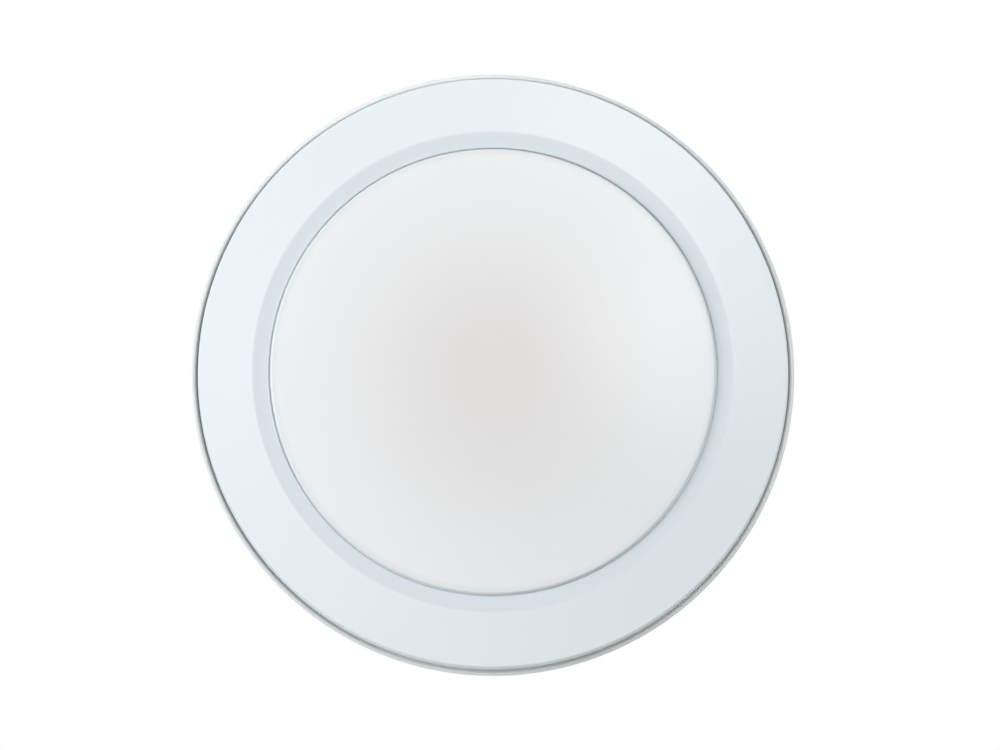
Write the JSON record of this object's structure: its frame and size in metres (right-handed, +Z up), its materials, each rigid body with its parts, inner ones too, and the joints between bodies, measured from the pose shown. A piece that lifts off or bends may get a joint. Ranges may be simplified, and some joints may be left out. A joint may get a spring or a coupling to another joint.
{
  "type": "soffit downlight",
  "caption": "Round surface-mounted soffit downlight with a domed opal lens and sloping white trim, twisting onto a junction-box plate.",
  "frame": {"origin": "centre of the mounting plate's box slots, on the soffit plane", "axes": "+Z up into the soffit and junction box, the light hangs towards -Z; +X along the line of the box slots"},
  "size_m": [0.1905, 0.1904, 0.0519],
  "materials": {
    "zinc_steel": "zinc-plated pressed sheet",
    "bright_steel": "nickel-plated",
    "green_steel": "green-dyed plating",
    "cast_aluminium": "die-cast, fine blasted",
    "white_paint": "satin powder coat, cool white",
    "opal_plastic": "satin opal",
    "pale_silicone": "pale grey-green, slightly translucent",
    "grey_silicone": "matt",
    "black_rubber": "matt",
    "white_plastic": "fine moulded texture",
    "ivory_plastic": "moulded",
    "black_plastic": "moulded",
    "brown_plastic": "moulded",
    "yellow_plastic": "moulded",
    "red_insulation": "wire insulation",
    "white_board": "white solder mask",
    "green_board": "green solder mask",
    "led_phosphor": "phosphor",
    "ferrite": "matt",
    "yellow_tape": "insulating tape",
    "capacitor_sleeve": "shrink sleeve",
    "enamelled_copper": "enamelled copper wire",
    "blue_lacquer": "lacquer"
  },
  "bodies": {
    "plate": {"mounting_plate": "zinc_steel", "ground_screw": "green_steel"},
    "light": {"base_pan": "cast_aluminium", "shoulder_studs": "bright_steel", "soffit_gasket": "pale_silicone", "trim_ring": "white_paint", "trim_screws": "bright_steel", "lens": "opal_plastic", "lens_seal": "pale_silicone", "reflector": "white_plastic", "thermal_pad": "grey_silicone", "led_board": "white_board", "led_chips": "led_phosphor", "board_screws": "bright_steel", "board_connector": "ivory_plastic", "output_leads": "red_insulation", "driver_housing": "white_plastic", "housing_seal": "black_rubber", "housing_screws": "bright_steel", "insulating_tray": "ivory_plastic", "driver_board": "green_board", "transformer_core": "ferrite", "transformer_winding": "yellow_tape", "input_capacitor": "capacitor_sleeve", "output_capacitor": "capacitor_sleeve", "film_capacitor": "yellow_plastic", "rectifier": "black_plastic", "choke": "enamelled_copper", "varistor": "blue_lacquer", "fuse": "brown_plastic", "control_chip": "black_plastic", "wire_grommet": "black_rubber", "selector_body": "zinc_steel", "selector_screws": "bright_steel"},
    "knob": {"selector_knob": "black_plastic"}
  },
  "joints": [
    {"name": "twist_lock", "type": "hinge", "parent": "plate", "child": "light", "pos_m": [0, 0, 0], "axis": [0, 0, 1], "range_deg": [-20, 0]},
    {"name": "selector_slide", "type": "slide", "parent": "light", "child": "knob", "axis": [1, 0, 0], "range_m": [-0.004, 0.004]}
  ]
}
